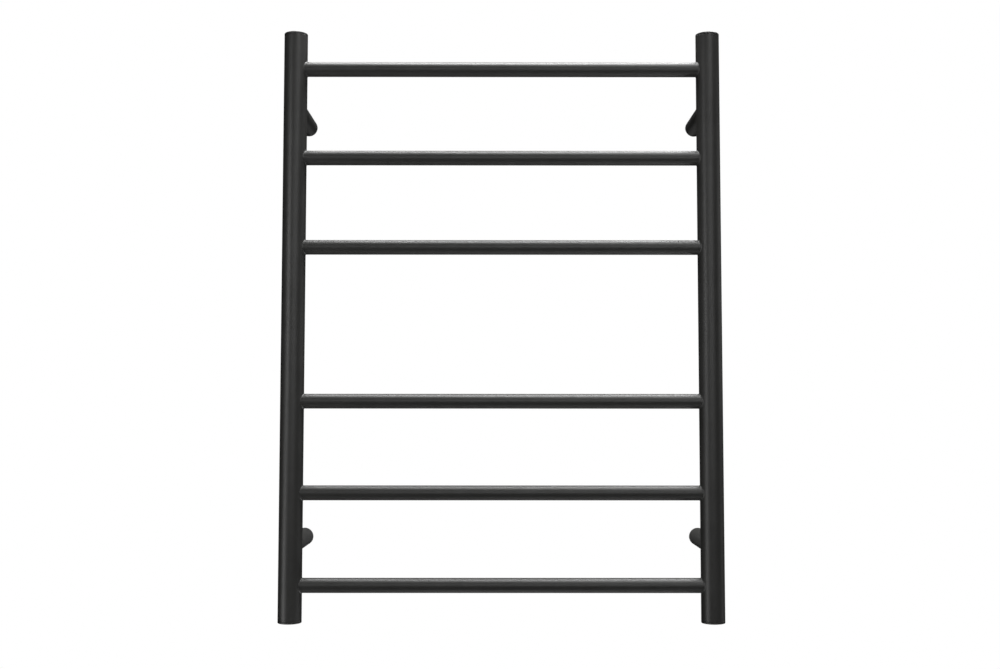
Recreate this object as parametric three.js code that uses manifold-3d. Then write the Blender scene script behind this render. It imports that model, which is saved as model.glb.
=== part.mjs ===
// A wall-mounted electric towel warmer: a welded ladder of round tube, held off the wall by four posts.
//
// Millimetres, +Z up. The wall is the plane y = 0 and the room lies towards -Y, so the ladder's
// front faces -Y. The origin is on the wall, midway between the four wall fixings.
//
// Two upright tubes carry six towel bars, whose ends pass through the uprights' inner walls and are
// welded there. Each upright is closed by a pressed cap at both ends and stands on two hollow posts.
// A post slides over a turned spigot that is screwed to the wall, and a grub screw locks it from
// below. One heating cable winds through all six bars, from a cut-out and a splice beside the
// lower left post, which is also the way in for the supply flex.

import * as THREE from "three";
import { mergeVertices } from "three/addons/utils/BufferGeometryUtils.js";
import Module from "manifold-3d";

const wasm = await Module();
wasm.setup();

// ---- Driving dimensions --------------------------------------------------------------------------

const overallWidth = 600; // across the outside of the uprights
const overallHeight = 803; // over the end caps

const uprightDiameter = 32;
const uprightWall = 1.5;

const barDiameter = 20;
const barWall = 1.2;
const firstBarFromEnd = 49.5; // outermost bar's axis to the end of the upright
const barPitch = 123.5; // between neighbouring bars of one group of three
const barsPerGroup = 3; // one group hangs from the top, the other stands on the bottom
const barEndInset = 1.5; // how far a bar's end stands clear inside the upright's bore

const capFlange = 3; // thickness of the cap that shows
const capChamfer = 1;
const capPlugLength = 8;
const capPlugWall = 2;

const wallToAxis = 122; // wall to the upright's axis
const postDiameter = 25;
const postWall = 2;
const postFromEnd = 102.5; // post's axis to the end of the upright
const postWallGap = 0.5; // shadow gap between the post's end and the wall

const bushLength = 20;
const spigotDiameter = 16.5;
const spigotLength = 16;
const spigotScrewHole = 5;
const spigotScrewHead = 9.5; // mouth of the 90 degree countersink
const wiredScrewHole = 4.5; // the wired spigot's screw passes beside the flex
const wiredScrewDrop = 3.9;
const flexSlotWidth = 7; // slot for the supply flex in the wired spigot
const flexSlotRise = 4.6; // slot's round bottom above the spigot's axis

const grubDiameter = 5; // M5
const grubLength = 4;
const grubSocket = 2.5; // across the flats of its hexagon
const grubSocketDepth = 2;
const grubFromWall = 9;

const grommetHole = 12; // hole in the upright behind the wired post
const grommetFlange = 15;
const grommetFlangeThickness = 1.6;
const grommetBore = 6.6;

const cableDiameter = 4;
const cableFloorGap = 0.3; // the cable's underside above the bar's bore
const cableLead = 12; // straight run between a bend and what it ends in
const cutoutDiameter = 8;
const cutoutLength = 22;
const spliceDiameter = 9;
const spliceLength = 28;
const endSealDiameter = 6.5;
const endSealLength = 22;

const earthStudDiameter = 4; // M4
const earthStudLength = 14;
const earthLugThickness = 1;
const earthLugDiameter = 9;
const earthBarrelDiameter = 4.4;
const earthBarrelLength = 5;
const earthNutFlats = 7;
const earthNutHeight = 3.2;

// Clearances
const weldGap = 0.15; // between two pieces that a weld joins
const pressGap = 0.15; // between a pressed or sliding piece and its seat, on the radius
const threadGap = 0.1; // between a screw and its tapped hole, on the radius
const faceGap = 0.3; // between two pieces laid end to end

// Facets round a circle
const uprightFacets = 48;
const tubeFacets = 24;
const screwFacets = 12;
const cableFacets = 8;
const bendSteps = 5; // along a quarter turn of the cable

// ---- Derived places ------------------------------------------------------------------------------

const uprightRadius = uprightDiameter / 2;
const uprightBore = uprightRadius - uprightWall;
const uprightX = overallWidth / 2 - uprightRadius;
const uprightLength = overallHeight - 2 * (capFlange + faceGap);

const barRadius = barDiameter / 2;
const barBore = barRadius - barWall;
const barEndX = uprightX - Math.sqrt(uprightBore ** 2 - barRadius ** 2) + barEndInset;

const postRadius = postDiameter / 2;
const postBore = postRadius - postWall;
const postZ = overallHeight / 2 - postFromEnd;

const bushRadius = postBore - pressGap;
const bushBore = spigotDiameter / 2 + pressGap;

// Axes of the bars, counted from the top.
const barHeights = [];
for (let i = 0; i < barsPerGroup; i++) barHeights.push(overallHeight / 2 - firstBarFromEnd - i * barPitch);
for (let i = barsPerGroup - 1; i >= 0; i--) barHeights.push(-barHeights[i]);

const sides = { left: -1, right: 1 };
const levels = { upper: 1, lower: -1 };

// ---- Finishes ------------------------------------------------------------------------------------

const finish = (color, roughness, metalness) => new THREE.MeshStandardMaterial({ color, roughness, metalness });

const matteBlack = finish(0x2b2b2a, 0.5, 0);
const turnedSteel = finish(0xa6a6a2, 0.35, 1);
const blackOxide = finish(0x1c1c1e, 0.4, 0.8);
const silicone = finish(0x8c3b2e, 0.6, 0);
const rubber = finish(0x18181a, 0.8, 0);
const shrinkSleeve = finish(0x2c2c2c, 0.6, 0);
const phenolic = finish(0xd8d2c2, 0.5, 0);
const brass = finish(0xb99a55, 0.35, 1);

// ---- Shape helpers -------------------------------------------------------------------------------

// A body of revolution about +Y, from [radius, height] points that run anticlockwise.
const turned = (points, facets) =>
  new THREE.LatheGeometry(points.map(([r, h]) => new THREE.Vector2(r, h)), facets);

const tube = (outer, inner, length, facets) =>
  turned([[outer, 0], [outer, length], [inner, length], [inner, 0], [outer, 0]], facets);

const rod = (radius, length, facets) => turned([[0, 0], [radius, 0], [radius, length], [0, length]], facets);

// The height of a turned shape is laid along +Z or +X.
const alongZ = (geometry) => geometry.rotateX(Math.PI / 2);
const alongX = (geometry) => geometry.rotateZ(-Math.PI / 2);

function solidOf(geometry) {
  const bare = geometry.clone();
  bare.deleteAttribute("normal");
  bare.deleteAttribute("uv");
  const merged = mergeVertices(bare, 1e-4);
  return new wasm.Manifold(
    new wasm.Mesh({
      numProp: 3,
      vertProperties: merged.attributes.position.array,
      triVerts: new Uint32Array(merged.index.array),
    }),
  );
}

function geometryOf(solid) {
  const mesh = solid.getMesh();
  return new THREE.BufferGeometry()
    .setAttribute("position", new THREE.BufferAttribute(mesh.vertProperties, 3))
    .setIndex(new THREE.BufferAttribute(mesh.triVerts, 1));
}

const cut = (geometry, ...tools) =>
  geometryOf(tools.reduce((left, tool) => left.subtract(solidOf(tool)), solidOf(geometry)));

const join = (geometry, ...others) =>
  geometryOf(others.reduce((whole, other) => whole.add(solidOf(other)), solidOf(geometry)));

const ladder = new THREE.Group();

function place(name, geometry, material, x, y, z) {
  const mesh = new THREE.Mesh(geometry, material);
  mesh.name = name;
  mesh.position.set(x, y, z);
  ladder.add(mesh);
}

// ---- Uprights ------------------------------------------------------------------------------------

// A tube with a hole through its inner wall for each bar. The left one also has the flex's hole.
function uprightGeometry(side, wired) {
  const blank = alongZ(tube(uprightRadius, uprightBore, uprightLength, uprightFacets));
  blank.translate(0, 0, -uprightLength / 2);
  const tools = barHeights.map((z) => {
    const tool = alongX(rod(barRadius + weldGap, uprightDiameter, tubeFacets));
    if (side > 0) tool.rotateZ(Math.PI);
    return tool.translate(0, 0, z);
  });
  if (wired) tools.push(rod(grommetHole / 2, uprightDiameter, tubeFacets).translate(0, 0, -postZ));
  return cut(blank, ...tools);
}

for (const [side, sign] of Object.entries(sides))
  place(`${side}_upright`, uprightGeometry(sign, side === "left"), matteBlack, sign * uprightX, -wallToAxis, 0);

// ---- End caps ------------------------------------------------------------------------------------

// A flange flush with the tube, and a hollow plug that is pressed into the bore below it.
function capGeometry() {
  const plug = uprightBore - pressGap;
  return alongZ(
    turned(
      [
        [0, -capFlange],
        [plug - capPlugWall, -capFlange],
        [plug - capPlugWall, -capFlange - capPlugLength],
        [plug, -capFlange - capPlugLength],
        [plug, -capFlange],
        [uprightRadius, -capFlange],
        [uprightRadius, -capChamfer],
        [uprightRadius - capChamfer, 0],
        [0, 0],
      ],
      uprightFacets,
    ),
  );
}

for (const [side, sign] of Object.entries(sides))
  for (const [end, up] of Object.entries({ top: 1, bottom: -1 })) {
    const cap = capGeometry();
    if (up < 0) cap.rotateX(Math.PI);
    place(`${end}_${side}_cap`, cap, matteBlack, sign * uprightX, -wallToAxis, (up * overallHeight) / 2);
  }

// ---- Towel bars ----------------------------------------------------------------------------------

barHeights.forEach((z, i) => {
  const bar = alongX(tube(barRadius, barBore, 2 * barEndX, tubeFacets)).translate(-barEndX, 0, 0);
  place(`towel_bar_${i + 1}`, bar, matteBlack, 0, -wallToAxis, z);
});

// ---- Posts, bushes, spigots and grub screws ------------------------------------------------------

// The tapped hole for the grub screw, up through the underside.
const grubHole = () =>
  alongZ(rod(grubDiameter / 2 + threadGap, postDiameter, screwFacets)).translate(0, -grubFromWall, -postDiameter);

// A tube from the wall to the upright, its end cut to the upright's round.
function postGeometry() {
  const blank = tube(postRadius, postBore, wallToAxis - postWallGap, tubeFacets).translate(0, -wallToAxis, 0);
  const mouth = alongZ(rod(uprightRadius + weldGap, 2 * postDiameter, uprightFacets));
  mouth.translate(0, -wallToAxis, -postDiameter);
  return cut(blank, mouth, grubHole());
}

// The socket bush is fixed in the post's end and takes the spigot.
const bushGeometry = () =>
  cut(tube(bushRadius, bushBore, bushLength, tubeFacets).translate(0, -bushLength - postWallGap, 0), grubHole());

// A spigot with one central countersunk hole.
const spigotGeometry = () => {
  const mouth = spigotScrewHead / 2;
  const hole = spigotScrewHole / 2;
  const radius = spigotDiameter / 2;
  return turned(
    [[hole, 0], [hole, mouth - hole - spigotLength], [mouth, -spigotLength], [radius, -spigotLength], [radius, 0],
      [hole, 0]],
    tubeFacets,
  );
};

// The wired spigot: its screw sits low, and a slot above it lets the flex in.
function wiredSpigotGeometry() {
  const length = 2 * spigotLength;
  const hole = rod(wiredScrewHole / 2, length, screwFacets).translate(0, -length + 1, -wiredScrewDrop);
  const slot = rod(flexSlotWidth / 2, length, screwFacets).translate(0, -length + 1, flexSlotRise);
  const mouth = new THREE.BoxGeometry(flexSlotWidth, length, spigotDiameter);
  mouth.translate(0, -length / 2 + 1, flexSlotRise + spigotDiameter / 2);
  const blank = rod(spigotDiameter / 2, spigotLength, tubeFacets).translate(0, -spigotLength, 0);
  return cut(blank, hole, slot, mouth);
}

// A grub screw standing point up, its hexagon socket in the lower end.
const grubGeometry = () => {
  const socket = new THREE.CylinderGeometry(grubSocket / Math.sqrt(3), grubSocket / Math.sqrt(3), grubSocketDepth, 6);
  return cut(alongZ(rod(grubDiameter / 2, grubLength, screwFacets)), alongZ(socket));
};

const grubPointZ = -spigotDiameter / 2 - threadGap / 2;

for (const [side, sign] of Object.entries(sides))
  for (const [level, up] of Object.entries(levels)) {
    const where = `${level}_${side}`;
    const wired = where === "lower_left";
    const at = [sign * uprightX, 0, up * postZ];
    place(`post_${where}`, postGeometry(), matteBlack, ...at);
    place(`socket_bush_${where}`, bushGeometry(), turnedSteel, ...at);
    place(`wall_spigot_${where}`, wired ? wiredSpigotGeometry() : spigotGeometry(), turnedSteel, ...at);
    const point = up * postZ + grubPointZ - grubLength;
    place(`grub_screw_${where}`, grubGeometry(), blackOxide, at[0], -grubFromWall, point);
  }

// ---- Flex grommet --------------------------------------------------------------------------------

// A rubber ring that lines the flex's hole. Its neck spans the upright's curved wall.
function grommetGeometry() {
  const neck = grommetHole / 2 - pressGap;
  const flange = grommetFlange / 2;
  const bore = grommetBore / 2;
  const outside = uprightRadius + pressGap;
  const inside = Math.sqrt(uprightBore ** 2 - flange ** 2) - pressGap;
  return turned(
    [
      [bore, inside - grommetFlangeThickness],
      [flange, inside - grommetFlangeThickness],
      [flange, inside],
      [neck, inside],
      [neck, outside],
      [flange, outside],
      [flange, outside + grommetFlangeThickness],
      [bore, outside + grommetFlangeThickness],
      [bore, inside - grommetFlangeThickness],
    ],
    tubeFacets,
  );
}

place("flex_grommet", grommetGeometry(), rubber, -uprightX, -wallToAxis, -postZ);

// ---- Heating cable -------------------------------------------------------------------------------

// A path through stations that may be unevenly spaced: each step of a sweep runs from one to the next.
class StationPath extends THREE.Curve {
  constructor(stations) {
    super();
    this.stations = stations;
  }

  getUtoTmapping(u) {
    return u;
  }

  getPoint(t, target = new THREE.Vector3()) {
    const place = t * (this.stations.length - 1);
    const from = Math.min(Math.floor(place), this.stations.length - 2);
    return target.lerpVectors(this.stations[from], this.stations[from + 1], place - from);
  }
}

const cableRadius = cableDiameter / 2;
const bendRadius = uprightX - barEndX + 1;
const cableDrop = barBore - cableRadius - cableFloorGap; // the cable lies on the floor of each bar

// A quarter turn in the plane of the ladder about (x, z), between two angles in radians.
function bend(x, z, from, to) {
  const turn = [];
  for (let i = 0; i <= bendSteps; i++) {
    const angle = from + ((to - from) * i) / bendSteps;
    turn.push(new THREE.Vector3(x + bendRadius * Math.cos(angle), 0, z + bendRadius * Math.sin(angle)));
  }
  return turn;
}

// The way into a bar, from a vertical run below it or, for the lowest bar, above it.
const bendX = uprightX - bendRadius;
const lowestRun = barHeights.at(-1) - cableDrop;
const stations = [new THREE.Vector3(-uprightX, 0, lowestRun + bendRadius + cableLead)];
stations.push(...bend(-bendX, lowestRun + bendRadius, Math.PI, 1.5 * Math.PI));
let sign = 1;
for (let i = barHeights.length - 1; i > 0; i--) {
  const here = barHeights[i] - cableDrop;
  const next = barHeights[i - 1] - cableDrop;
  const across = sign > 0 ? 0 : Math.PI;
  const quarter = (sign * Math.PI) / 2;
  stations.push(...bend(sign * bendX, here + bendRadius, across - quarter, across));
  stations.push(...bend(sign * bendX, next - bendRadius, across, across + quarter));
  sign = -sign;
}
const highestRun = barHeights[0] - cableDrop;
stations.push(...bend(-bendX, highestRun + bendRadius, 1.5 * Math.PI, Math.PI));
stations.push(new THREE.Vector3(-uprightX, 0, highestRun + bendRadius + cableLead));

const cableSection = new THREE.Shape();
for (let i = 0; i < cableFacets; i++) {
  const angle = (2 * Math.PI * i) / cableFacets;
  const corner = [cableRadius * Math.cos(angle), cableRadius * Math.sin(angle)];
  if (i === 0) cableSection.moveTo(...corner);
  else cableSection.lineTo(...corner);
}
const cable = new THREE.ExtrudeGeometry(cableSection, {
  steps: stations.length - 1,
  extrudePath: new StationPath(stations),
});
place("heating_cable", cable, silicone, 0, -wallToAxis, 0);

// ---- What the cable ends in ----------------------------------------------------------------------

// A barrel with eased ends, such as a sealed cut-out or a shrink sleeve.
const barrel = (diameter, length, ease) =>
  alongZ(
    turned(
      [[0, 0], [diameter / 2 - ease, 0], [diameter / 2, ease], [diameter / 2, length - ease],
        [diameter / 2 - ease, length], [0, length]],
      screwFacets,
    ),
  );

const cutoutZ = lowestRun + bendRadius + cableLead + faceGap;
const spliceZ = cutoutZ + cutoutLength + faceGap;
const endSealZ = highestRun + bendRadius + cableLead + faceGap;

place("thermal_cutout", barrel(cutoutDiameter, cutoutLength, 1.5), phenolic, -uprightX, -wallToAxis, cutoutZ);
place("supply_splice", barrel(spliceDiameter, spliceLength, 2), shrinkSleeve, -uprightX, -wallToAxis, spliceZ);
place("cable_end_seal", barrel(endSealDiameter, endSealLength, 1), shrinkSleeve, -uprightX, -wallToAxis, endSealZ);

// ---- Earth terminal, inside the bottom left cap --------------------------------------------------

const capFloorZ = -overallHeight / 2 + capFlange;
const lugZ = capFloorZ + 2 * faceGap;
const nutZ = lugZ + earthLugThickness + faceGap;

// A ring lug: a flat ring on the stud, with a crimp barrel beside it.
function lugGeometry() {
  const ring = alongZ(tube(earthLugDiameter / 2, earthStudDiameter / 2 + threadGap, earthLugThickness, tubeFacets));
  const crimp = alongX(rod(earthBarrelDiameter / 2, earthBarrelLength, screwFacets));
  crimp.translate(earthNutFlats / 2 + faceGap, 0, earthBarrelDiameter / 2);
  return join(ring, crimp);
}

function nutGeometry() {
  const blank = new THREE.CylinderGeometry(earthNutFlats / Math.sqrt(3), earthNutFlats / Math.sqrt(3), earthNutHeight, 6);
  blank.translate(0, earthNutHeight / 2, 0);
  const hole = rod(earthStudDiameter / 2 + threadGap, 3 * earthNutHeight, screwFacets).translate(0, -earthNutHeight, 0);
  return cut(alongZ(blank), alongZ(hole));
}

const stud = alongZ(rod(earthStudDiameter / 2, earthStudLength, screwFacets));
place("earth_stud", stud, brass, -uprightX, -wallToAxis, capFloorZ + faceGap);
place("earth_lug", lugGeometry(), brass, -uprightX, -wallToAxis, lugZ);
place("earth_nut", nutGeometry(), brass, -uprightX, -wallToAxis, nutZ);

export default ladder;
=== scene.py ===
import math

import bmesh
import bpy
from mathutils import Matrix, Quaternion, Vector


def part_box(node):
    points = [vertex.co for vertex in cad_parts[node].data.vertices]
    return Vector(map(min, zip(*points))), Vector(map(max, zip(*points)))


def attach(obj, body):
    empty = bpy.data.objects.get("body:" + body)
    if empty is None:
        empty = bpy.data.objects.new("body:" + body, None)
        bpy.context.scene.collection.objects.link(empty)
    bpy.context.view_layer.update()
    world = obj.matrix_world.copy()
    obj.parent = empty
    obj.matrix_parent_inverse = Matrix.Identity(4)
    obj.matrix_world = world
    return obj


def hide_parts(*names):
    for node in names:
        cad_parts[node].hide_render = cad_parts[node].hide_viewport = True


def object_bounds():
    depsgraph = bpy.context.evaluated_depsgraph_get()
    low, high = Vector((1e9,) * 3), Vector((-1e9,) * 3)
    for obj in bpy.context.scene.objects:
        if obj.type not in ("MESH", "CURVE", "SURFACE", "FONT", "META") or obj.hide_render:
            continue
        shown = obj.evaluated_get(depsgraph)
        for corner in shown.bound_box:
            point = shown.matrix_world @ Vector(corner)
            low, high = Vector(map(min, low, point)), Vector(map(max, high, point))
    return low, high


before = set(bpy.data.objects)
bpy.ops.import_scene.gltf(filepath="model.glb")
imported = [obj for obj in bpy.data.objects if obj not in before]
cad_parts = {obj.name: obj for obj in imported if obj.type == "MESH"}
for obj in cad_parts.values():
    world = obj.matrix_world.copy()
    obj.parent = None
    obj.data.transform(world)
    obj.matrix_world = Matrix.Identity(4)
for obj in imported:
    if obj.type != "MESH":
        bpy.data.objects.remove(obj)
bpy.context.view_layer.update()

# Uprights: two steel tubes, laser-cut on their inner sides for the towel bars, welded up and then
# powder coated matte black with the rest of the ladder. The left one also has a hole at the back for
# the supply flex.

UPRIGHT_FACETS = 128
ROD_FACETS = 64
TUBE_EDGE = 0.0003
EASE_SEGMENTS = 3
SHARP_TURN = 0.6
CREASE_TURN = math.radians(50)
CLOSE = 1e-6
CUT_MERGE = 3e-6
COAT_COLOR = (0.0245, 0.0245, 0.0232, 1)
COAT_COLOR_LIGHT = (0.030, 0.030, 0.0287, 1)
COAT_GRAIN_DEPTH = 0.000008
COAT_PEEL_DEPTH = 0.000005
NOISE_LOW = 0.3
NOISE_HIGH = 0.7


def make_mottle():
    """A soft noise in the piece's own space, spread between a low and a high value."""
    group = bpy.data.node_groups.new("mottle", "ShaderNodeTree")
    for name, value in {"Scale": 500, "Detail": 2, "Low": 0, "High": 1}.items():
        socket = group.interface.new_socket(name, in_out="INPUT", socket_type="NodeSocketFloat")
        socket.default_value = value
    group.interface.new_socket("Value", in_out="OUTPUT", socket_type="NodeSocketFloat")
    start = group.nodes.new("NodeGroupInput")
    place = group.nodes.new("ShaderNodeTexCoord")
    noise = group.nodes.new("ShaderNodeTexNoise")
    spread = group.nodes.new("ShaderNodeMapRange")
    spread.inputs["From Min"].default_value = NOISE_LOW
    spread.inputs["From Max"].default_value = NOISE_HIGH
    end = group.nodes.new("NodeGroupOutput")
    link = group.links.new
    link(place.outputs["Object"], noise.inputs["Vector"])
    link(start.outputs["Scale"], noise.inputs["Scale"])
    link(start.outputs["Detail"], noise.inputs["Detail"])
    link(noise.outputs["Fac"], spread.inputs["Value"])
    link(start.outputs["Low"], spread.inputs["To Min"])
    link(start.outputs["High"], spread.inputs["To Max"])
    link(spread.outputs["Result"], end.inputs["Value"])
    return group


mottle = make_mottle()


def new_finish(name, metallic=0.0):
    material = bpy.data.materials.new(name)
    material.use_nodes = True
    shader = material.node_tree.nodes["Principled BSDF"]
    shader.inputs["Metallic"].default_value = metallic
    return material, shader


def add_mottle(material, scale, detail, low=0, high=1):
    node = material.node_tree.nodes.new("ShaderNodeGroup")
    node.node_tree = mottle
    for name, value in {"Scale": scale, "Detail": detail, "Low": low, "High": high}.items():
        node.inputs[name].default_value = value
    return node.outputs["Value"]


def tint(material, shader, factor, dark, light):
    """Varies the base colour between two tones."""
    mix = material.node_tree.nodes.new("ShaderNodeMix")
    mix.data_type = "RGBA"
    mix.inputs["A"].default_value = dark
    mix.inputs["B"].default_value = light
    material.node_tree.links.new(factor, mix.inputs["Factor"])
    material.node_tree.links.new(mix.outputs["Result"], shader.inputs["Base Color"])


def relief(material, shader, heights):
    """Stacks bumps, each a height from 0 to 1 and what 1 stands for in metres."""
    normal = None
    for height, depth in heights:
        bump = material.node_tree.nodes.new("ShaderNodeBump")
        bump.inputs["Distance"].default_value = depth
        material.node_tree.links.new(height, bump.inputs["Height"])
        if normal:
            material.node_tree.links.new(normal, bump.inputs["Normal"])
        normal = bump.outputs["Normal"]
    material.node_tree.links.new(normal, shader.inputs["Normal"])


def make_powder_coat():
    material, shader = new_finish("black_powder_finish")
    link = material.node_tree.links.new
    tint(material, shader, add_mottle(material, scale=40, detail=3), COAT_COLOR, COAT_COLOR_LIGHT)
    link(add_mottle(material, scale=900, detail=2, low=0.38, high=0.45), shader.inputs["Roughness"])
    grain = add_mottle(material, scale=2200, detail=2)
    peel = add_mottle(material, scale=320, detail=1)
    relief(material, shader, [(peel, COAT_PEEL_DEPTH), (grain, COAT_GRAIN_DEPTH)])
    return material


powder_coat = make_powder_coat()


def middle(node):
    low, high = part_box(node)
    return (low + high) / 2


def size(node):
    low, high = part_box(node)
    return high - low


def spun(outline, facets):
    """A closed shape about Z from (radius, height) points; the outline closes on itself or the axis."""
    shape = bmesh.new()
    corners = [shape.verts.new((radius, 0, height)) for radius, height in outline]
    sides = [shape.edges.new(pair) for pair in zip(corners, corners[1:])]
    if outline[0][0] > 0:
        sides.append(shape.edges.new((corners[-1], corners[0])))
    bmesh.ops.spin(
        shape,
        geom=corners + sides,
        cent=(0, 0, 0),
        axis=(0, 0, 1),
        angle=math.tau,
        steps=facets,
        use_merge=True,
    )
    bmesh.ops.remove_doubles(shape, verts=shape.verts, dist=CLOSE)
    bmesh.ops.recalc_face_normals(shape, faces=shape.faces)
    return shape


def ease(shape, width):
    """Rounds every sharp edge."""
    whole = [edge for edge in shape.edges if edge.is_manifold]
    edges = [edge for edge in whole if edge.calc_face_angle() > SHARP_TURN]
    bmesh.ops.bevel(
        shape,
        geom=edges,
        offset=width,
        offset_type="OFFSET",
        segments=EASE_SEGMENTS,
        profile=0.5,
        affect="EDGES",
        clamp_overlap=True,
        material=-1,
    )


def rod(radius, low, high, facets=ROD_FACETS):
    return spun([(0, low), (radius, low), (radius, high), (0, high)], facets)


def turn_to(shape, axis, place):
    """Turns a shape that was made about +Z to lie along another axis, and moves it to its place."""
    turn = Vector((0, 0, 1)).rotation_difference(Vector(axis)).to_matrix().to_4x4()
    bmesh.ops.transform(shape, matrix=Matrix.Translation(place) @ turn, verts=shape.verts)
    return shape


def make_object(name, shape):
    mesh = bpy.data.meshes.new(name)
    for face in shape.faces:
        face.smooth = True
    shape.to_mesh(mesh)
    shape.free()
    piece = bpy.data.objects.new(name, mesh)
    bpy.context.scene.collection.objects.link(piece)
    return piece


def cut(piece, tools, operation="DIFFERENCE"):
    """Takes each tool's shape out of the piece, or joins it on."""
    for tool in tools:
        cutter = make_object("cutter", tool)
        boolean = piece.modifiers.new("cut", "BOOLEAN")
        boolean.object = cutter
        boolean.solver = "EXACT"
        boolean.operation = operation
        ready = piece.evaluated_get(bpy.context.evaluated_depsgraph_get())
        mesh = bpy.data.meshes.new_from_object(ready)
        piece.modifiers.clear()
        old = piece.data
        piece.data = mesh
        bpy.data.meshes.remove(old)
        bpy.data.objects.remove(cutter)
    clean = bmesh.new()
    clean.from_mesh(piece.data)
    bmesh.ops.remove_doubles(clean, verts=clean.verts, dist=CUT_MERGE)
    bmesh.ops.dissolve_degenerate(clean, edges=clean.edges, dist=CUT_MERGE)
    clean.to_mesh(piece.data)
    clean.free()
    return piece


def fit(piece, material, node, body):
    """Finishes a piece: crisp edges stay crisp, flats stay flat, and it stands for its CAD node."""
    piece.data.materials.clear()
    piece.data.materials.append(material)
    piece.data.set_sharp_from_angle(angle=CREASE_TURN)
    weighted = piece.modifiers.new("flats", "WEIGHTED_NORMAL")
    weighted.keep_sharp = True
    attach(piece, body)
    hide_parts(node)


BAR_NODES = sorted(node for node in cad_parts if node.startswith("towel_bar_"))
SIDES = {"left": -1, "right": 1}
WALL = 0.0015
UPRIGHT_RADIUS = size("left_upright").x / 2
BAR_RADIUS = size(BAR_NODES[0]).z / 2
BAR_HOLE_PLAY = 0.00015
BAR_HOLE_COLLAR = 1.4
FLEX_HOLE_RADIUS = 0.006

for side, sign in SIDES.items():
    node = f"{side}_upright"
    axis = middle(node)
    half = size(node).z / 2
    bore = UPRIGHT_RADIUS - WALL
    outline = [(bore, -half), (UPRIGHT_RADIUS, -half), (UPRIGHT_RADIUS, half), (bore, half)]
    shape = spun(outline, UPRIGHT_FACETS)
    ease(shape, TUBE_EDGE)
    turn_to(shape, (0, 0, 1), axis)
    collar = BAR_RADIUS * BAR_HOLE_COLLAR
    heights = [middle(bar).z for bar in BAR_NODES]
    if side == "left":
        heights.append(middle("flex_grommet").z)
    for height in heights:
        for edge in (-collar, collar):
            geom = shape.verts[:] + shape.edges[:] + shape.faces[:]
            bmesh.ops.bisect_plane(shape, geom=geom, plane_co=(0, 0, height + edge), plane_no=(0, 0, 1))
    upright = make_object(f"{side}_upright_tube", shape)
    tools = []
    for bar in BAR_NODES:
        hole = rod(BAR_RADIUS + BAR_HOLE_PLAY, 0, 2 * UPRIGHT_RADIUS)
        tools.append(turn_to(hole, (-sign, 0, 0), (axis.x, axis.y, middle(bar).z)))
    if side == "left":
        hole = rod(FLEX_HOLE_RADIUS, 0, 2 * UPRIGHT_RADIUS)
        tools.append(turn_to(hole, (0, 1, 0), (axis.x, axis.y, heights[-1])))
    cut(upright, tools)
    fit(upright, powder_coat, node, "rack")

# End caps: a pressed steel lid on each end of each upright, flush with the tube. A thin seam shows
# where the two meet, and the lid's rim is rounded.

CAP_RIM = 0.0010
CAP_SEAM_EDGE = 0.00025
CAP_PLUG_WALL = 0.002
CAP_PLUG_PLAY = 0.00015
CAP_PLUG_LENGTH = 0.008
QUARTER_TURN = [math.radians(15 * i) for i in range(7)]

for side in SIDES:
    for end, up in {"top": 1, "bottom": -1}.items():
        node = f"{end}_{side}_cap"
        low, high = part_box(node)
        centre = middle(node)
        thick = size(node).z - CAP_PLUG_LENGTH
        plug = UPRIGHT_RADIUS - WALL - CAP_PLUG_PLAY
        arc = [
            (UPRIGHT_RADIUS - CAP_RIM + CAP_RIM * math.cos(a), -CAP_RIM + CAP_RIM * math.sin(a))
            for a in QUARTER_TURN
        ]
        outline = [
            (0, -thick),
            (plug - CAP_PLUG_WALL, -thick),
            (plug - CAP_PLUG_WALL, -thick - CAP_PLUG_LENGTH),
            (plug, -thick - CAP_PLUG_LENGTH),
            (plug, -thick),
            (UPRIGHT_RADIUS - CAP_SEAM_EDGE, -thick),
            (UPRIGHT_RADIUS, -thick + CAP_SEAM_EDGE),
            *arc,
            (0, 0),
        ]
        shape = spun(outline, UPRIGHT_FACETS)
        tip = high.z if up > 0 else low.z
        if up < 0:
            over = Matrix.Rotation(math.pi, 3, "X")
            bmesh.ops.rotate(shape, cent=(0, 0, 0), matrix=over, verts=shape.verts)
        bmesh.ops.translate(shape, vec=(centre.x, centre.y, tip), verts=shape.verts)
        fit(make_object(f"{end}_{side}_lid", shape), powder_coat, node, "rack")

# Towel bars: six lengths of steel tube. Each end passes through the upright's inner wall, and a small
# smooth weld runs round it on the outside.

BAR_FACETS = 96
BAR_WALL = 0.0012
WELD = 0.0012
WELD_REACH = 1.01 * WELD
WELD_STEPS = 5
SEAT = 0.00004


def weld_arc(radius, face, towards):
    """The hollow curve of a weld bead, from a tube's surface out to the face it stands on."""
    angles = [math.pi / 2 * i / WELD_STEPS for i in range(WELD_STEPS + 1)]
    return [
        (radius + WELD - WELD * math.cos(a), face - towards * WELD * (1 - math.sin(a)))
        for a in angles
    ]


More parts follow.
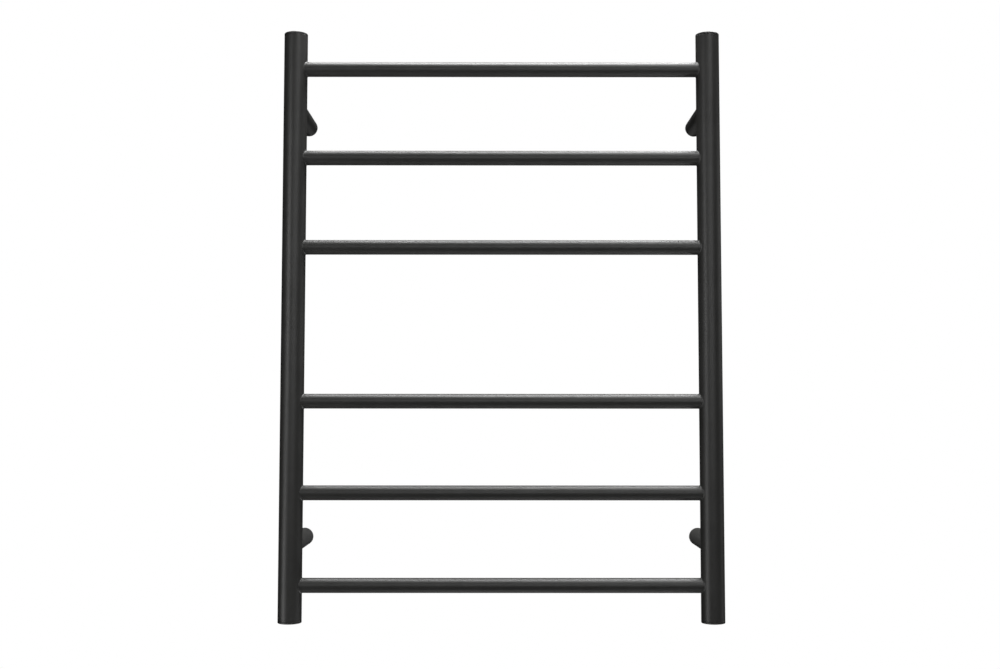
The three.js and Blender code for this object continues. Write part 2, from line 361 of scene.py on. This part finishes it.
for node in BAR_NODES:
    half = size(node).x / 2
    centre = middle(node)
    face = middle("right_upright").x - UPRIGHT_RADIUS
    right = weld_arc(BAR_RADIUS, face, 1)
    left = weld_arc(BAR_RADIUS, -face, -1)
    outline = [
        (BAR_RADIUS - BAR_WALL, -half),
        (BAR_RADIUS, -half),
        (BAR_RADIUS, -face),
        *reversed(left),
        (BAR_RADIUS, 0),
        *right,
        (BAR_RADIUS, face),
        (BAR_RADIUS, half),
        (BAR_RADIUS - BAR_WALL, half),
    ]
    shape = spun(outline, BAR_FACETS)
    turn_to(shape, (1, 0, 0), (0, 0, 0))
    for vert in shape.verts:
        if face - WELD_REACH < abs(vert.co.x) < face + SEAT:
            hollow = UPRIGHT_RADIUS - math.sqrt(UPRIGHT_RADIUS**2 - vert.co.y**2) + SEAT
            vert.co.x += math.copysign(hollow, vert.co.x)
    bmesh.ops.translate(shape, vec=centre, verts=shape.verts)
    fit(make_object(f"{node}_tube", shape), powder_coat, node, "rack")

# Posts: four tubes welded to the backs of the uprights, which hold the ladder off the wall. Each one's
# front end is cut to the upright's round, and a tapped hole near the wall takes a grub screw.

PLACES = [f"{level}_{side}" for side in SIDES for level in ("upper", "lower")]
POST_WALL = 0.002
POST_EDGE = 0.0004
GRUB_PLAY = 0.0001
GRUB_HOLE_REACH = 0.02
GRUB_HOLE_TOP = 0.004


def grub_hole(place):
    """The tapped hole under a post, as a tool that cuts it."""
    screw = f"grub_screw_{place}"
    centre = middle(screw)
    hole = rod(size(screw).x / 2 + GRUB_PLAY, -GRUB_HOLE_REACH, 0.0)
    return turn_to(hole, (0, 0, 1), (centre.x, centre.y, centre.z + GRUB_HOLE_TOP))


for place in PLACES:
    node = f"post_{place}"
    low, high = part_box(node)
    centre = middle(node)
    radius = size(node).x / 2
    axis_y = middle("left_upright").y
    reach = high.y - axis_y
    weld = weld_arc(radius, reach, 1)
    outline = [(radius - POST_WALL, 0), (radius, 0), *weld, (radius - POST_WALL, reach)]
    shape = spun(outline, BAR_FACETS)
    rims = [edge for edge in shape.edges if all(abs(vert.co.z) < CLOSE for vert in edge.verts)]
    bmesh.ops.bevel(
        shape,
        geom=rims,
        offset=POST_EDGE,
        offset_type="OFFSET",
        segments=EASE_SEGMENTS,
        profile=0.5,
        affect="EDGES",
        material=-1,
    )
    turn_to(shape, (0, -1, 0), (0, 0, 0))
    for vert in shape.verts:
        if vert.co.y < -reach + WELD_REACH:
            vert.co.y += math.sqrt(UPRIGHT_RADIUS**2 - vert.co.x**2) - SEAT
    bmesh.ops.translate(shape, vec=(centre.x, high.y, centre.z), verts=shape.verts)
    post = make_object(f"{place}_post_tube", shape)
    cut(post, [grub_hole(place)])
    fit(post, powder_coat, node, "rack")

# Socket bushes: a turned steel ring in the wall end of each post. It slides over the wall spigot, and
# the grub screw's thread runs on through it.

STEEL_COLOR = (0.53, 0.52, 0.50, 1)
STEEL_COLOR_LIGHT = (0.58, 0.57, 0.55, 1)
TOOL_MARK = 0.00018
TOOL_MARK_DEPTH = 0.0000012
WAVE_AT_SCALE_1 = math.tau / 20
BUSH_EDGE = 0.0004
BUSH_PLAY = 0.00015


def make_turned_steel():
    material, shader = new_finish("turned_steel_finish", metallic=1.0)
    nodes, link = material.node_tree.nodes, material.node_tree.links.new
    tint(material, shader, add_mottle(material, scale=120, detail=2), STEEL_COLOR, STEEL_COLOR_LIGHT)
    link(add_mottle(material, scale=900, detail=2, low=0.32, high=0.38), shader.inputs["Roughness"])
    place = nodes.new("ShaderNodeTexCoord")
    rings = nodes.new("ShaderNodeTexWave")
    rings.bands_direction = "Y"
    rings.inputs["Scale"].default_value = WAVE_AT_SCALE_1 / TOOL_MARK
    link(place.outputs["Object"], rings.inputs["Vector"])
    relief(material, shader, [(rings.outputs["Fac"], TOOL_MARK_DEPTH)])
    return material


turned_steel = make_turned_steel()

for place in PLACES:
    node = f"socket_bush_{place}"
    low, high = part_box(node)
    centre = middle(node)
    length = size(node).y
    bore = size(f"wall_spigot_{place}").x / 2 + BUSH_PLAY
    outer = size(node).x / 2
    shape = spun([(bore, 0), (outer, 0), (outer, length), (bore, length)], BAR_FACETS)
    ease(shape, BUSH_EDGE)
    turn_to(shape, (0, -1, 0), (centre.x, high.y, centre.z))
    bush = cut(make_object(f"{place}_bush", shape), [grub_hole(place)])
    fit(bush, turned_steel, node, "rack")

# Wall spigots: turned steel pegs screwed to the wall, one in each post. Three have one countersunk
# hole on their axis. The lower left one has its screw low down and a slot above it for the flex.

SPIGOT_EDGE = 0.0003
SCREW_HOLE = 0.0025
SCREW_MOUTH = 0.00475
LOW_SCREW_HOLE = 0.00225
LOW_SCREW_DROP = 0.0039
FLEX_SLOT = 0.0035
FLEX_SLOT_RISE = 0.0046
DRILL_PAST = 0.01


def open_slot(radius, low, high, opening):
    """A slot with a round bottom at the axis and straight sides up to its open top."""
    shape = rod(radius, low, high)
    for vert in shape.verts:
        if vert.co.y > CLOSE:
            vert.co.y = opening
    bmesh.ops.remove_doubles(shape, verts=shape.verts, dist=CLOSE)
    return shape


for place in PLACES:
    node = f"wall_spigot_{place}"
    length = size(node).y
    radius = size(node).x / 2
    centre = Vector((middle(node).x, 0, middle(f"post_{place}").z))
    if place == "lower_left":
        shape = rod(radius, 0, length, BAR_FACETS)
        ease(shape, SPIGOT_EDGE)
        turn_to(shape, (0, -1, 0), centre)
        hole = rod(LOW_SCREW_HOLE, -DRILL_PAST, length + DRILL_PAST)
        turn_to(hole, (0, -1, 0), centre - Vector((0, 0, LOW_SCREW_DROP)))
        slot = open_slot(FLEX_SLOT, -DRILL_PAST, length + DRILL_PAST, 2 * radius)
        turn_to(slot, (0, -1, 0), centre + Vector((0, 0, FLEX_SLOT_RISE)))
        spigot = cut(make_object(f"{place}_spigot", shape), [hole, slot])
    else:
        outline = [
            (SCREW_HOLE, 0),
            (radius, 0),
            (radius, length),
            (SCREW_MOUTH, length),
            (SCREW_HOLE, length - SCREW_MOUTH + SCREW_HOLE),
        ]
        shape = spun(outline, BAR_FACETS)
        ease(shape, SPIGOT_EDGE)
        turn_to(shape, (0, -1, 0), centre)
        spigot = make_object(f"{place}_spigot", shape)
    fit(spigot, turned_steel, node, "wall_fixings")

# Grub screws: blackened M5 screws that lock the posts on the spigots. Each stands point up in its
# post, with the hexagon socket facing down.

GRUB_COLOR = (0.030, 0.030, 0.033, 1)
GRUB_COLOR_WORN = (0.075, 0.070, 0.066, 1)
GRUB_SKIN_DEPTH = 0.000003
GRUB_PITCH = 0.0008
THREAD_DEPTH = 0.00035
SCREW_FACETS = 48
SOCKET_FLATS = 0.0025
SOCKET_DEPTH = 0.002


def make_black_oxide():
    material, shader = new_finish("blackened_finish", metallic=0.9)
    link = material.node_tree.links.new
    tint(material, shader, add_mottle(material, scale=1500, detail=4), GRUB_COLOR, GRUB_COLOR_WORN)
    link(add_mottle(material, scale=2500, detail=3, low=0.35, high=0.55), shader.inputs["Roughness"])
    relief(material, shader, [(add_mottle(material, scale=5000, detail=2), GRUB_SKIN_DEPTH)])
    return material


def threaded(radius, length, pitch):
    """The outline of a threaded rod, with its crests a pitch apart."""
    turns = int(length / pitch)
    start = (length - turns * pitch) / 2
    root = radius - THREAD_DEPTH
    outline = [(0, 0), (root, 0)]
    for i in range(turns):
        outline.append((root, start + i * pitch))
        outline.append((radius, start + (i + 0.5) * pitch))
    return outline + [(root, start + turns * pitch), (root, length), (0, length)]


def hexagon(flats, low, high):
    shape = bmesh.new()
    corner = flats / math.sqrt(3)
    bmesh.ops.create_cone(
        shape, cap_ends=True, segments=6, radius1=corner, radius2=corner, depth=high - low
    )
    bmesh.ops.translate(shape, vec=(0, 0, (low + high) / 2), verts=shape.verts)
    return shape


black_oxide = make_black_oxide()

for place in PLACES:
    node = f"grub_screw_{place}"
    low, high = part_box(node)
    centre = (middle(node).x, middle(node).y, low.z)
    shape = spun(threaded(size(node).x / 2, size(node).z, GRUB_PITCH), SCREW_FACETS)
    turn_to(shape, (0, 0, 1), centre)
    socket = turn_to(hexagon(SOCKET_FLATS, -SOCKET_DEPTH, SOCKET_DEPTH), (0, 0, 1), centre)
    grub = cut(make_object(f"{place}_grub", shape), [socket])
    fit(grub, black_oxide, node, f"grub_{place}")

# Flex grommet: a black rubber ring that lines the flex's hole in the back of the left upright. Its
# groove holds the upright's wall, and its bore grips the flex.

RUBBER_COLOR = (0.012, 0.012, 0.013, 1)
RUBBER_COLOR_DUSTY = (0.020, 0.020, 0.020, 1)
RUBBER_SKIN_DEPTH = 0.000006
GROMMET_BORE = 0.0033
GROMMET_FLANGE = 0.0016
GROMMET_NECK = 0.00585
GROMMET_EDGE = 0.0005


def make_grommet_rubber():
    material, shader = new_finish("rubber_finish")
    link = material.node_tree.links.new
    tint(material, shader, add_mottle(material, scale=700, detail=3), RUBBER_COLOR, RUBBER_COLOR_DUSTY)
    link(add_mottle(material, scale=1500, detail=2, low=0.65, high=0.85), shader.inputs["Roughness"])
    relief(material, shader, [(add_mottle(material, scale=4000, detail=2), RUBBER_SKIN_DEPTH)])
    return material


low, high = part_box("flex_grommet")
centre = middle("flex_grommet")
flange = size("flex_grommet").x / 2
depth = size("flex_grommet").y
outline = [
    (GROMMET_BORE, 0),
    (flange, 0),
    (flange, GROMMET_FLANGE),
    (GROMMET_NECK, GROMMET_FLANGE),
    (GROMMET_NECK, depth - GROMMET_FLANGE),
    (flange, depth - GROMMET_FLANGE),
    (flange, depth),
    (GROMMET_BORE, depth),
]
shape = spun(outline, ROD_FACETS)
ease(shape, GROMMET_EDGE)
turn_to(shape, (0, 1, 0), (centre.x, low.y, centre.z))
grommet = make_object("flex_hole_grommet", shape)
fit(grommet, make_grommet_rubber(), "flex_grommet", "rack")

# Heating cable: one run of silicone-sheathed cable through all six towel bars. It lies on the floor of
# each bar and turns in the uprights, and its cold ends stand in the left upright.

SHEATH_COLOR = (0.30, 0.055, 0.035, 1)
SHEATH_COLOR_PALE = (0.38, 0.085, 0.055, 1)
SHEATH_SKIN_DEPTH = 0.000008
CABLE_FACETS = 24
BEND_INSET = 0.001
BEND_STEPS = 8
CABLE_FLOOR_GAP = 0.0003


def make_cable_silicone():
    material, shader = new_finish("silicone_finish")
    link = material.node_tree.links.new
    tint(material, shader, add_mottle(material, scale=300, detail=2), SHEATH_COLOR, SHEATH_COLOR_PALE)
    link(add_mottle(material, scale=900, detail=2, low=0.45, high=0.65), shader.inputs["Roughness"])
    relief(material, shader, [(add_mottle(material, scale=2500, detail=2), SHEATH_SKIN_DEPTH)])
    return material


def new_end(shape, old_end, step):
    """Opens the cable where a new stretch joins it, and gives the stretch's own end face."""
    if any(len(edge.link_faces) > 2 for edge in old_end.edges):
        bmesh.ops.delete(shape, geom=[old_end], context="FACES_ONLY")
    return next(face for face in step if isinstance(face, bmesh.types.BMFace))


def advance(shape, end, length, direction):
    """Runs the cable on in a straight line."""
    step = bmesh.ops.extrude_face_region(shape, geom=[end])["geom"]
    corners = [corner for corner in step if isinstance(corner, bmesh.types.BMVert)]
    bmesh.ops.translate(shape, vec=Vector(direction) * length, verts=corners)
    return new_end(shape, end, step)


def bend(shape, end, radius, direction, towards):
    """Turns the cable through a right angle, from one direction towards another."""
    centre = end.calc_center_median() + Vector(towards) * radius
    axis = Vector(direction).cross(Vector(towards))
    turn = bmesh.ops.spin(
        shape, geom=[end], cent=centre, axis=axis, angle=math.pi / 2, steps=BEND_STEPS
    )
    return new_end(shape, end, turn["geom_last"])


low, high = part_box("heating_cable")
radius = size("heating_cable").y / 2
side_x = middle("right_upright").x
turn_radius = side_x - size(BAR_NODES[0]).x / 2 + BEND_INSET
drop = BAR_RADIUS - BAR_WALL - radius - CABLE_FLOOR_GAP
runs = [middle(bar).z - drop for bar in reversed(BAR_NODES)]
across = 2 * (side_x - turn_radius)
lead = high.z - runs[-1] - turn_radius
shape = bmesh.new()
bmesh.ops.create_circle(shape, cap_ends=True, segments=CABLE_FACETS, radius=radius)
start = (-side_x, middle("heating_cable").y, runs[0] + turn_radius + lead)
bmesh.ops.translate(shape, vec=start, verts=shape.verts)
end = advance(shape, shape.faces[:][0], lead, (0, 0, -1))
end = bend(shape, end, turn_radius, (0, 0, -1), (1, 0, 0))
way = 1
for run, following in zip(runs, runs[1:]):
    end = advance(shape, end, across, (way, 0, 0))
    end = bend(shape, end, turn_radius, (way, 0, 0), (0, 0, 1))
    end = advance(shape, end, following - run - 2 * turn_radius, (0, 0, 1))
    way = -way
    end = bend(shape, end, turn_radius, (0, 0, 1), (way, 0, 0))
end = advance(shape, end, across, (way, 0, 0))
end = bend(shape, end, turn_radius, (way, 0, 0), (0, 0, 1))
end = advance(shape, end, lead, (0, 0, 1))
bmesh.ops.recalc_face_normals(shape, faces=shape.faces)
cable = make_object("heating_cable_run", shape)
fit(cable, make_cable_silicone(), "heating_cable", "rack")

# What the cable ends in: a sealed thermal cut-out and a splice to the supply flex at its lower end,
# and a sealed cap on its upper end.

SLEEVE_COLOR = (0.020, 0.020, 0.020, 1)
SLEEVE_COLOR_SCUFFED = (0.040, 0.040, 0.040, 1)
PHENOLIC_COLOR = (0.62, 0.55, 0.42, 1)
PHENOLIC_COLOR_SPECK = (0.72, 0.66, 0.54, 1)
SLEEVE_CREASE_DEPTH = 0.00008
PHENOLIC_SKIN_DEPTH = 0.000004
INLINE_FACETS = 48


def make_shrink_sleeve():
    material, shader = new_finish("sleeve_finish")
    link = material.node_tree.links.new
    scuffs = add_mottle(material, scale=600, detail=3)
    tint(material, shader, scuffs, SLEEVE_COLOR, SLEEVE_COLOR_SCUFFED)
    link(add_mottle(material, scale=1100, detail=2, low=0.40, high=0.60), shader.inputs["Roughness"])
    relief(material, shader, [(add_mottle(material, scale=450, detail=2), SLEEVE_CREASE_DEPTH)])
    return material


def make_cutout_phenolic():
    material, shader = new_finish("phenolic_finish")
    link = material.node_tree.links.new
    specks = add_mottle(material, scale=1800, detail=4)
    tint(material, shader, specks, PHENOLIC_COLOR, PHENOLIC_COLOR_SPECK)
    link(add_mottle(material, scale=900, detail=2, low=0.35, high=0.50), shader.inputs["Roughness"])
    relief(material, shader, [(add_mottle(material, scale=3000, detail=2), PHENOLIC_SKIN_DEPTH)])
    return material


shrink_sleeve = make_shrink_sleeve()
INLINE = {
    # node: (how far each end is drawn in, its finish, slot)
    "thermal_cutout": (0.0015, make_cutout_phenolic(), "cutout_phenolic"),
    "supply_splice": (0.002, shrink_sleeve, "shrink_sleeve"),
    "cable_end_seal": (0.001, shrink_sleeve, "shrink_sleeve"),
}

for node, (drawn_in, finish, slot) in INLINE.items():
    low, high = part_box(node)
    centre = middle(node)
    radius, length = size(node).y / 2, size(node).z
    lower = [
        (radius - drawn_in * (1 - math.sin(a)), drawn_in * (1 - math.cos(a)))
        for a in QUARTER_TURN
    ]
    upper = [(r, length - h) for r, h in reversed(lower)]
    shape = spun([(0, 0), *lower, *upper, (0, length)], INLINE_FACETS)
    turn_to(shape, (0, 0, 1), (centre.x, centre.y, low.z))
    fit(make_object(f"{node}_body", shape), finish, node, "rack")

# Earth terminal: a brass stud on the floor of the bottom left cap, with the earth wire's crimped ring
# lug held under a nut.

BRASS_COLOR = (0.56, 0.38, 0.15, 1)
BRASS_COLOR_DULL = (0.42, 0.28, 0.12, 1)
BRASS_SKIN_DEPTH = 0.000003
BRASS_EDGE = 0.0002
STUD_PITCH = 0.0007
NUT_FLATS = 0.007
LUG_THICK = 0.001
LUG_BARREL = 0.0022
LUG_BARREL_FACETS = 32
LUG_BARREL_GAP = 0.0003


def make_brass():
    material, shader = new_finish("brass_finish", metallic=1.0)
    link = material.node_tree.links.new
    tint(material, shader, add_mottle(material, scale=500, detail=4), BRASS_COLOR, BRASS_COLOR_DULL)
    link(add_mottle(material, scale=1300, detail=3, low=0.25, high=0.45), shader.inputs["Roughness"])
    relief(material, shader, [(add_mottle(material, scale=3500, detail=2), BRASS_SKIN_DEPTH)])
    return material


brass = make_brass()
low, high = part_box("earth_stud")
axis = middle("earth_stud")
stud_radius = size("earth_stud").y / 2
shape = spun(threaded(stud_radius, high.z - low.z, STUD_PITCH), SCREW_FACETS)
turn_to(shape, (0, 0, 1), (axis.x, axis.y, low.z))
fit(make_object("earth_terminal_stud", shape), brass, "earth_stud", "rack")

low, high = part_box("earth_lug")
ring = size("earth_lug").y / 2
hole = stud_radius + GRUB_PLAY
shape = spun([(hole, 0), (ring, 0), (ring, LUG_THICK), (hole, LUG_THICK)], SCREW_FACETS)
ease(shape, BRASS_EDGE)
turn_to(shape, (0, 0, 1), (axis.x, axis.y, low.z))
lug = make_object("earth_wire_lug", shape)
barrel_start = NUT_FLATS / 2 + LUG_BARREL_GAP
barrel = rod(LUG_BARREL, 0, high.x - axis.x - barrel_start, LUG_BARREL_FACETS)
ease(barrel, BRASS_EDGE)
turn_to(barrel, (1, 0, 0), (axis.x + barrel_start, axis.y, low.z + LUG_BARREL))
cut(lug, [barrel], operation="UNION")
fit(lug, brass, "earth_lug", "rack")

low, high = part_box("earth_nut")
shape = hexagon(NUT_FLATS, 0, high.z - low.z)
turned = Matrix.Rotation(math.pi / 6, 3, "Z")
bmesh.ops.rotate(shape, cent=(0, 0, 0), matrix=turned, verts=shape.verts)
ease(shape, BRASS_EDGE)
turn_to(shape, (0, 0, 1), (axis.x, axis.y, low.z))
nut = make_object("earth_terminal_nut", shape)
drill = rod(hole, -DRILL_PAST, DRILL_PAST, SCREW_FACETS)
cut(nut, [turn_to(drill, (0, 0, 1), (axis.x, axis.y, low.z))])
fit(nut, brass, "earth_nut", "rack")

# Stage: a plain white floor well below the ladder. It is seen from above only, so that the ladder can
# also be looked at from underneath, and it throws no light back.

FLOOR_DROP = 0.5
FLOOR_SIZE = 12
WHITE_GLOW = 1.0


def make_white():
    material = bpy.data.materials.new("white_floor")
    material.use_nodes = True
    nodes = material.node_tree.nodes
    nodes.clear()
    link = material.node_tree.links.new
    glow = nodes.new("ShaderNodeEmission")
    glow.inputs["Color"].default_value = (1, 1, 1, 1)
    glow.inputs["Strength"].default_value = WHITE_GLOW
    clear = nodes.new("ShaderNodeBsdfTransparent")
    side = nodes.new("ShaderNodeNewGeometry")
    mix = nodes.new("ShaderNodeMixShader")
    end = nodes.new("ShaderNodeOutputMaterial")
    link(side.outputs["Backfacing"], mix.inputs["Fac"])
    link(glow.outputs["Emission"], mix.inputs[1])
    link(clear.outputs["BSDF"], mix.inputs[2])
    link(mix.outputs["Shader"], end.inputs["Surface"])
    return material


def make_stage():
    low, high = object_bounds()
    shape = bmesh.new()
    bmesh.ops.create_grid(shape, x_segments=1, y_segments=1, size=FLOOR_SIZE)
    bmesh.ops.translate(shape, vec=(0, 0, low.z - FLOOR_DROP), verts=shape.verts)
    floor = make_object("floor", shape)
    floor.data.materials.append(make_white())
    for ray in ("visible_diffuse", "visible_glossy", "visible_shadow"):
        setattr(floor, ray, False)


make_stage()

# Lights: square soft boxes on a sphere round the ladder, all aimed at its middle. Most of the light
# comes from above and behind, a little from the front, and the room itself is dark.

BOX_SIZE = 0.8
BOX_DISTANCE = 2.2
SOFT_BOXES = {
    # name: (height angle, angle from the front towards the right, watts)
    "overhead": (90, 0, 50.0),
    "high_right_front": (62, 45, 9.7),
    "high_right": (62, 90, 16.0),
    "high_right_back": (62, 135, 34.0),
    "high_back": (62, 180, 4.4),
    "high_left_back": (62, -135, 19.9),
    "upper_front": (35, 30, 5.0),
    "front": (8, 0, 4.1),
    "front_right": (8, 22.5, 3.6),
    "right": (8, 90, 1.4),
    "right_back": (8, 112.5, 1.1),
    "front_left": (8, -45, 9.0),
    "left_low": (-20, -60, 8.0),
    "right_low": (-20, 90, 1.2),
    "low_right_front": (-50, 60, 6.0),
    "low_right_back": (-50, 120, 13.5),
    "low_left_front": (-50, -60, 3.0),
    "low_left_back": (-50, -120, 0.9),
    "low_back": (-50, 180, 1.2),
    "back": (-8, 180, 0.35),
    "underneath": (-90, 0, 3.0),
}


def make_lights():
    target = Vector((0, middle("left_upright").y, 0))
    for name, (height, around, watts) in SOFT_BOXES.items():
        up, turn = math.radians(height), math.radians(around)
        way = Vector((math.sin(turn) * math.cos(up), -math.cos(turn) * math.cos(up), math.sin(up)))
        light = bpy.data.lights.new(name, "AREA")
        light.size = BOX_SIZE
        light.energy = watts
        lamp = bpy.data.objects.new(name, light)
        lamp.location = target + way * BOX_DISTANCE
        lamp.rotation_euler = (-way).to_track_quat("-Z", "Y").to_euler()
        lamp.visible_camera = False
        bpy.context.scene.collection.objects.link(lamp)


make_lights()


def make_world():
    """A dark room, with a white surround behind the ladder."""
    world = bpy.data.worlds.new("studio")
    world.use_nodes = True
    bpy.context.scene.world = world
    nodes = world.node_tree.nodes
    nodes.clear()
    link = world.node_tree.links.new
    room = nodes.new("ShaderNodeBackground")
    room.inputs["Color"].default_value = (1, 1, 1, 1)
    room.inputs["Strength"].default_value = 0
    white = nodes.new("ShaderNodeBackground")
    white.inputs["Color"].default_value = (1, 1, 1, 1)
    white.inputs["Strength"].default_value = WHITE_GLOW
    path = nodes.new("ShaderNodeLightPath")
    mix = nodes.new("ShaderNodeMixShader")
    end = nodes.new("ShaderNodeOutputWorld")
    link(path.outputs["Is Camera Ray"], mix.inputs["Fac"])
    link(room.outputs["Background"], mix.inputs[1])
    link(white.outputs["Background"], mix.inputs[2])
    link(mix.outputs["Shader"], end.inputs["Surface"])


make_world()

# Camera: in front of the ladder and a little below its middle, at standing distance, and tipped a few
# degrees up at it.

LENS = 43.55
SENSOR = 36
EYE_SIDE = -0.0047
EYE_AHEAD = 1.6431
EYE_HEIGHT = -0.1201
PITCH = math.radians(3.686)
YAW = math.radians(0.088)
ROLL = math.radians(0.03)


def make_camera():
    data = bpy.data.cameras.new("camera")
    data.lens = LENS
    data.sensor_width = SENSOR
    camera = bpy.data.objects.new("camera", data)
    camera.location = (EYE_SIDE, middle("left_upright").y - EYE_AHEAD, EYE_HEIGHT)
    look = Vector((math.sin(YAW), math.cos(YAW) * math.cos(PITCH), math.sin(PITCH)))
    aim = look.to_track_quat("-Z", "Y") @ Quaternion((0, 0, 1), ROLL)
    camera.rotation_euler = aim.to_euler()
    bpy.context.scene.collection.objects.link(camera)
    bpy.context.scene.camera = camera


make_camera()
bpy.context.scene.view_settings.view_transform = "Standard"
